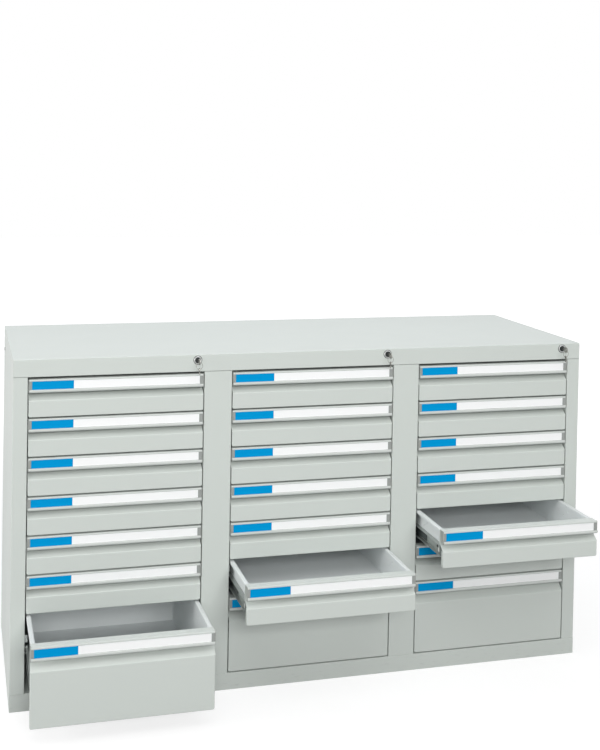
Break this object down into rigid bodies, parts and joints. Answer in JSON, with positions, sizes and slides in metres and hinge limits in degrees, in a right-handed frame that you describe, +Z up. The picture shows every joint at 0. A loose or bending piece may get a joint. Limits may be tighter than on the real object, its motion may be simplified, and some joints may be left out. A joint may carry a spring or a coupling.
{
  "type": "industrial drawer cabinet",
  "caption": "Low workshop cabinet of folded sheet steel with banks of drawers side by side, full-width grip strips and a cylinder lock for each bank.",
  "frame": {"origin": "on the floor under the middle of the carcass", "axes": "+X along the cabinet to its right as seen from the front, +Y from the drawer fronts to the back, +Z up"},
  "size_m": [1.5, 0.7445, 0.85],
  "materials": {
    "painted_steel": "satin powder coat, light grey",
    "grip_strip": "satin light grey with a blue and a white label insert",
    "zinc_steel": "zinc plated, dull",
    "lock_metal": "bright plated",
    "bar_steel": "plain cold-rolled steel"
  },
  "bodies": {
    "cabinet": {"top_cover": "painted_steel", "side_panel_left": "painted_steel", "side_panel_right": "painted_steel", "bay_divider_left": "painted_steel", "bay_divider_right": "painted_steel", "back_panel": "painted_steel", "base": "painted_steel", "slide_rails_1": "zinc_steel", "slide_rails_2": "zinc_steel", "slide_rails_3": "zinc_steel", "lock_housings": "lock_metal", "bar_guides": "bar_steel"},
    "drawer_1_1": {"drawer_1_1": "painted_steel", "handle_1_1": "grip_strip"},
    "drawer_1_2": {"drawer_1_2": "painted_steel", "handle_1_2": "grip_strip"},
    "drawer_1_3": {"drawer_1_3": "painted_steel", "handle_1_3": "grip_strip"},
    "drawer_1_4": {"drawer_1_4": "painted_steel", "handle_1_4": "grip_strip"},
    "drawer_1_5": {"drawer_1_5": "painted_steel", "handle_1_5": "grip_strip"},
    "drawer_1_6": {"drawer_1_6": "painted_steel", "handle_1_6": "grip_strip"},
    "drawer_1_7": {"drawer_1_7": "painted_steel", "handle_1_7": "grip_strip"},
    "drawer_2_1": {"drawer_2_1": "painted_steel", "handle_2_1": "grip_strip"},
    "drawer_2_2": {"drawer_2_2": "painted_steel", "handle_2_2": "grip_strip"},
    "drawer_2_3": {"drawer_2_3": "painted_steel", "handle_2_3": "grip_strip"},
    "drawer_2_4": {"drawer_2_4": "painted_steel", "handle_2_4": "grip_strip"},
    "drawer_2_5": {"drawer_2_5": "painted_steel", "handle_2_5": "grip_strip"},
    "drawer_2_6": {"drawer_2_6": "painted_steel", "handle_2_6": "grip_strip"},
    "drawer_2_7": {"drawer_2_7": "painted_steel", "handle_2_7": "grip_strip"},
    "drawer_3_1": {"drawer_3_1": "painted_steel", "handle_3_1": "grip_strip"},
    "drawer_3_2": {"drawer_3_2": "painted_steel", "handle_3_2": "grip_strip"},
    "drawer_3_3": {"drawer_3_3": "painted_steel", "handle_3_3": "grip_strip"},
    "drawer_3_4": {"drawer_3_4": "painted_steel", "handle_3_4": "grip_strip"},
    "drawer_3_5": {"drawer_3_5": "painted_steel", "handle_3_5": "grip_strip"},
    "drawer_3_6": {"drawer_3_6": "painted_steel", "handle_3_6": "grip_strip"},
    "drawer_3_7": {"drawer_3_7": "painted_steel", "handle_3_7": "grip_strip"},
    "lock_core_1": {"lock_core_1": "lock_metal"},
    "locking_bar_1": {"locking_bar_1": "bar_steel"},
    "lock_core_2": {"lock_core_2": "lock_metal"},
    "locking_bar_2": {"locking_bar_2": "bar_steel"},
    "lock_core_3": {"lock_core_3": "lock_metal"},
    "locking_bar_3": {"locking_bar_3": "bar_steel"}
  },
  "joints": [
    {"name": "drawer_1_1_slide", "type": "slide", "parent": "cabinet", "child": "drawer_1_1", "axis": [0, -1, 0], "range_m": [0, 0.375]},
    {"name": "drawer_1_2_slide", "type": "slide", "parent": "cabinet", "child": "drawer_1_2", "axis": [0, -1, 0], "range_m": [0, 0.375]},
    {"name": "drawer_1_3_slide", "type": "slide", "parent": "cabinet", "child": "drawer_1_3", "axis": [0, -1, 0], "range_m": [0, 0.375]},
    {"name": "drawer_1_4_slide", "type": "slide", "parent": "cabinet", "child": "drawer_1_4", "axis": [0, -1, 0], "range_m": [0, 0.375]},
    {"name": "drawer_1_5_slide", "type": "slide", "parent": "cabinet", "child": "drawer_1_5", "axis": [0, -1, 0], "range_m": [0, 0.375]},
    {"name": "drawer_1_6_slide", "type": "slide", "parent": "cabinet", "child": "drawer_1_6", "axis": [0, -1, 0], "range_m": [0, 0.375]},
    {"name": "drawer_1_7_slide", "type": "slide", "parent": "cabinet", "child": "drawer_1_7", "axis": [0, -1, 0], "range_m": [-0.192, 0.183]},
    {"name": "drawer_2_1_slide", "type": "slide", "parent": "cabinet", "child": "drawer_2_1", "axis": [0, -1, 0], "range_m": [0, 0.375]},
    {"name": "drawer_2_2_slide", "type": "slide", "parent": "cabinet", "child": "drawer_2_2", "axis": [0, -1, 0], "range_m": [0, 0.375]},
    {"name": "drawer_2_3_slide", "type": "slide", "parent": "cabinet", "child": "drawer_2_3", "axis": [0, -1, 0], "range_m": [0, 0.375]},
    {"name": "drawer_2_4_slide", "type": "slide", "parent": "cabinet", "child": "drawer_2_4", "axis": [0, -1, 0], "range_m": [0, 0.375]},
    {"name": "drawer_2_5_slide", "type": "slide", "parent": "cabinet", "child": "drawer_2_5", "axis": [0, -1, 0], "range_m": [0, 0.375]},
    {"name": "drawer_2_6_slide", "type": "slide", "parent": "cabinet", "child": "drawer_2_6", "axis": [0, -1, 0], "range_m": [-0.19, 0.185]},
    {"name": "drawer_2_7_slide", "type": "slide", "parent": "cabinet", "child": "drawer_2_7", "axis": [0, -1, 0], "range_m": [0, 0.375]},
    {"name": "drawer_3_1_slide", "type": "slide", "parent": "cabinet", "child": "drawer_3_1", "axis": [0, -1, 0], "range_m": [0, 0.375]},
    {"name": "drawer_3_2_slide", "type": "slide", "parent": "cabinet", "child": "drawer_3_2", "axis": [0, -1, 0], "range_m": [0, 0.375]},
    {"name": "drawer_3_3_slide", "type": "slide", "parent": "cabinet", "child": "drawer_3_3", "axis": [0, -1, 0], "range_m": [0, 0.375]},
    {"name": "drawer_3_4_slide", "type": "slide", "parent": "cabinet", "child": "drawer_3_4", "axis": [0, -1, 0], "range_m": [0, 0.375]},
    {"name": "drawer_3_5_slide", "type": "slide", "parent": "cabinet", "child": "drawer_3_5", "axis": [0, -1, 0], "range_m": [-0.181, 0.194]},
    {"name": "drawer_3_6_slide", "type": "slide", "parent": "cabinet", "child": "drawer_3_6", "axis": [0, -1, 0], "range_m": [0, 0.375]},
    {"name": "drawer_3_7_slide", "type": "slide", "parent": "cabinet", "child": "drawer_3_7", "axis": [0, -1, 0], "range_m": [0, 0.375]},
    {"name": "lock_core_1_turn", "type": "hinge", "parent": "cabinet", "child": "lock_core_1", "pos_m": [-0.303, -0.275, 0.836], "axis": [0, 1, 0], "range_deg": [0, 90]},
    {"name": "locking_bar_1_slide", "type": "slide", "parent": "cabinet", "child": "locking_bar_1", "axis": [0, 0, -1], "range_m": [0, 0.01414]},
    {"name": "lock_core_2_turn", "type": "hinge", "parent": "cabinet", "child": "lock_core_2", "pos_m": [0.197, -0.275, 0.836], "axis": [0, 1, 0], "range_deg": [0, 90]},
    {"name": "locking_bar_2_slide", "type": "slide", "parent": "cabinet", "child": "locking_bar_2", "axis": [0, 0, -1], "range_m": [0, 0.01414]},
    {"name": "lock_core_3_turn", "type": "hinge", "parent": "cabinet", "child": "lock_core_3", "pos_m": [0.697, -0.275, 0.836], "axis": [0, 1, 0], "range_deg": [0, 90]},
    {"name": "locking_bar_3_slide", "type": "slide", "parent": "cabinet", "child": "locking_bar_3", "axis": [0, 0, -1], "range_m": [0, 0.01414]}
  ],
  "couplings": [
    {"joint": "lock_core_1_turn", "follows": "locking_bar_1_slide", "rad_per_m": 111.07},
    {"joint": "lock_core_2_turn", "follows": "locking_bar_2_slide", "rad_per_m": 111.07},
    {"joint": "lock_core_3_turn", "follows": "locking_bar_3_slide", "rad_per_m": 111.07}
  ]
}
